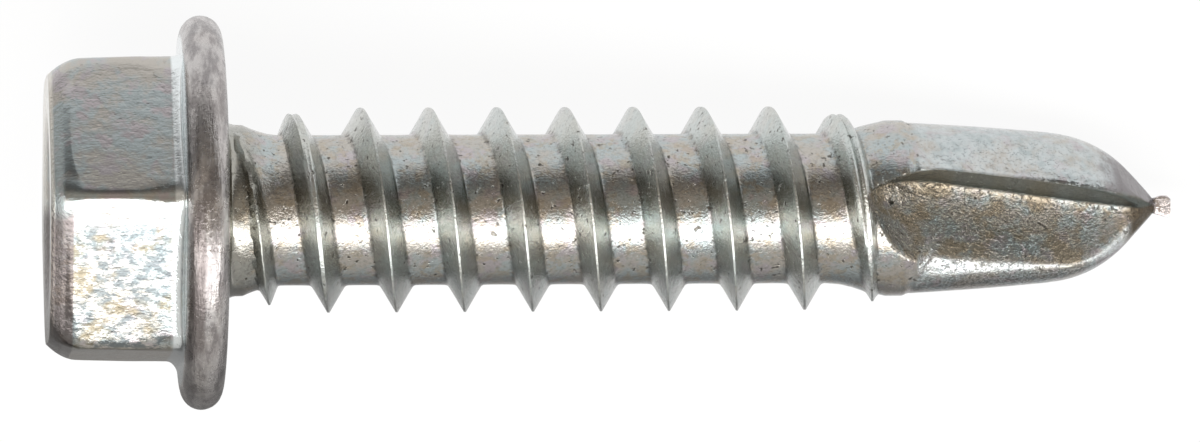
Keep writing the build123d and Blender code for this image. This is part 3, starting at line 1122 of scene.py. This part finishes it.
studio = {
    "floorSize": 3.0,        # metres
    "floorColour": 0.9,
    "floorWhite": 0.93,      # share of plain white that the camera sees in the floor
    # metal sees the floor white near itself and dimmer further off: places along Y and X, in metres
    "floorFade": [(-0.011, 0.16), (-0.001, 1.0), (0.020, 1.0), (0.045, 0.32)],
    "floorFadeEnd": [(-0.028, 0.3), (-0.010, 1.0)],
    "floorBrightEnd": (0.027, 0.036),
    "lampHeight": 0.15,
    "lampAcross": 15.0,      # half angle across the screw, degrees
    "lampTurn": -4.5,        # towards +Y, degrees
    "lampLength": 0.7,
    "lampAlong": 0.06,       # middle of the lamp along X
    "lampRadiance": 3.8,
    # brightness of the room by angle round the X axis, from the horizon at +Y over the top to -Y
    "room": [(0, 0.106), (9, 0.074), (17, 0.117), (25, 0.17), (33, 0.266), (41, 0.394), (48, 0.468),
             (56, 0.319), (64, 0.383), (71, 0.532), (111, 0.66), (120, 0.596), (129, 0.66),
             (139, 0.66), (149, 0.617), (160, 0.511), (174, 0.468), (180, 0.298)],
    "roomWhite": 0.06,       # share of the white surround that metal sees over the room
    "warmAngles": (12, 80),  # the wall behind
    "roomWarm": (1, 0.88, 0.74),
    "roomCool": (1, 0.98, 0.94),
}


# 1 on the way from the camera, the same from a mirror, and the same through glass
def rayKinds():
    kinds = ("Is Camera Ray", "Is Glossy Ray", "Is Transmission Ray")
    return [Wire.node("ShaderNodeLightPath", {}, {}, kind) for kind in kinds]


# a plain pale floor: white to the camera, and to metal a glow that is the product of S curves across
# and along the screw and full again beyond the point. The rest of it is matte and takes the shadow
def layFloor():
    half = studio["floorSize"] / 2
    low = cadBox[0][2]
    corners = [(-half, -half, low), (half, -half, low), (half, half, low), (-half, half, low)]
    data = bpy.data.meshes.new("floor")
    data.from_pydata(corners, [], [(0, 1, 2, 3)])
    floor = bpy.data.objects.new("floor", data)
    bpy.context.scene.collection.objects.link(floor)
    white = bpy.data.materials.new("floorWhite")
    white.use_nodes = True
    Wire.tree = white.node_tree
    Wire.tree.nodes.remove(Wire.tree.nodes["Principled BSDF"])
    cameraRay, glossyRay, transmissionRay = rayKinds()
    place = Wire.node("ShaderNodeTexCoord", {}, {}, "Object")
    along, across = coordinate(place, "X"), coordinate(place, "Y")
    (left, leftDim), (leftNear, _), (rightNear, _), (right, rightDim) = studio["floorFade"]
    (end, endDim), (endNear, _) = studio["floorFadeEnd"]
    seen = across.between(left, leftNear) * (1 - leftDim) + leftDim
    seen = seen * (across.between(right, rightNear) * (1 - rightDim) + rightDim)
    seen = seen * (along.between(end, endNear) * (1 - endDim) + endDim)
    bright = along.between(*studio["floorBrightEnd"])
    seen = seen * (1 - bright) + bright
    glowColour = (cameraRay + (1 - cameraRay) * seen).colours((0, 0, 0), (1, 1, 1))
    share = (cameraRay + glossyRay + transmissionRay) * studio["floorWhite"]
    level = studio["floorColour"]
    matte = Wire.node("ShaderNodeBsdfDiffuse", {}, {"Color": (level, level, level, 1)})
    glow = Wire.node("ShaderNodeEmission", {}, {"Color": glowColour, "Strength": 1.0})
    surface = Wire.node("ShaderNodeMixShader", {}, {0: share, 1: matte, 2: glow})
    Wire.tree.links.new(surface.socket, Wire.tree.nodes["Material Output"].inputs["Surface"])
    data.materials.append(white)


# one long soft lamp over the screw: its width from its height and half angle, its power the radiance
# times pi times its area
def hangLamp():
    s = studio
    lamp = bpy.data.lights.new("overhead", "AREA")
    lamp.shape = "RECTANGLE"
    lamp.size = s["lampLength"]
    lamp.size_y = 2 * s["lampHeight"] * np.tan(np.radians(s["lampAcross"]))
    lamp.energy = s["lampRadiance"] * np.pi * lamp.size * lamp.size_y
    holder = bpy.data.objects.new("overhead", lamp)
    holder.location = (s["lampAlong"], s["lampHeight"] * np.tan(np.radians(s["lampTurn"])), s["lampHeight"])
    holder.visible_camera = False
    bpy.context.scene.collection.objects.link(holder)


# the room's walls as a world: brightness by the angle of a direction round the X axis, atan(z / y)
def paintRoom():
    world = bpy.data.worlds.new("studio")
    bpy.context.scene.world = world
    world.use_nodes = True
    Wire.tree = world.node_tree
    direction = Wire.node("ShaderNodeTexCoord", {}, {}, "Generated")
    angle = Wire.math("ARCTAN2", coordinate(direction, "Z"), coordinate(direction, "Y"))
    warm, cool = np.array(studio["roomWarm"]), np.array(studio["roomCool"])
    low, high = studio["warmAngles"]
    stops = [(at / 180, tuple(level * (warm if low < at < high else cool))) for at, level in studio["room"]]
    walls = Wire.node("ShaderNodeValToRGB", {"stops": stops}, {"Fac": angle * (1 / np.pi)})
    cameraRay, glossyRay, transmissionRay = rayKinds()
    share = cameraRay + (glossyRay + transmissionRay) * studio["roomWhite"]
    seen = share.colours(walls, (1, 1, 1))
    Wire.tree.links.new(seen.socket, Wire.tree.nodes["Background"].inputs["Color"])


layFloor()
hangLamp()
paintRoom()
bpy.context.scene.view_settings.view_transform = "Standard"
print("studio lit")
